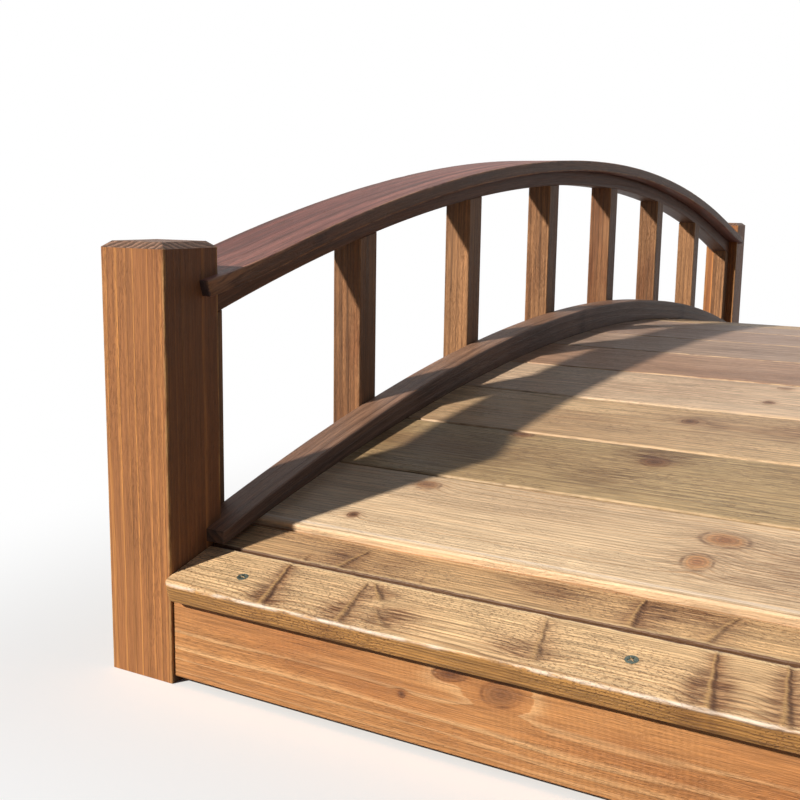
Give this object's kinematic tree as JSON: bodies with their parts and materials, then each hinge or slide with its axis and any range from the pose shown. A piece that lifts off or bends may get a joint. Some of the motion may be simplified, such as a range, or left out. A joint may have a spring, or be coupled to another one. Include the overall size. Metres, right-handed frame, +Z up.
{
  "type": "moon bridge",
  "caption": "Low arched timber garden bridge: cross-boarded deck on arched stringers between square posts, with kerbs, square balusters and bowed handrails.",
  "frame": {"origin": "middle of the bridge at the level of the post feet, which is the bottom centre of its bounding box", "axes": "+X along the span from the near end to the far end, +Y to the left railing, +Z up"},
  "size_m": [2.59, 1.2444, 0.616],
  "materials": {
    "post_wood": "oiled, satin",
    "baluster_wood": "oiled, satin",
    "fascia_wood": "oiled, satin",
    "frame_wood": "oiled, satin",
    "deck_wood": "oiled, satin",
    "kerb_wood": "oiled, satin",
    "rail_wood": "oiled, satin"
  },
  "bodies": {
    "root": {"near_left_post": "post_wood", "near_right_post": "post_wood", "far_left_post": "post_wood", "far_right_post": "post_wood", "near_fascia": "fascia_wood", "far_fascia": "fascia_wood", "left_stringer": "frame_wood", "middle_stringer": "frame_wood", "right_stringer": "frame_wood", "near_nosing_board": "deck_wood", "near_second_board": "deck_wood", "far_second_board": "deck_wood", "far_nosing_board": "deck_wood", "deck_board_01": "deck_wood", "deck_board_02": "deck_wood", "deck_board_03": "deck_wood", "deck_board_04": "deck_wood", "deck_board_05": "deck_wood", "deck_board_06": "deck_wood", "deck_board_07": "deck_wood", "deck_board_08": "deck_wood", "deck_board_09": "deck_wood", "deck_board_10": "deck_wood", "deck_board_11": "deck_wood", "deck_board_12": "deck_wood", "deck_board_13": "deck_wood", "left_kerb": "kerb_wood", "right_kerb": "kerb_wood", "left_balusters": "baluster_wood", "right_balusters": "baluster_wood", "left_subrail": "rail_wood", "right_subrail": "rail_wood", "left_handrail": "rail_wood", "right_handrail": "rail_wood"}
  },
  "joints": []
}
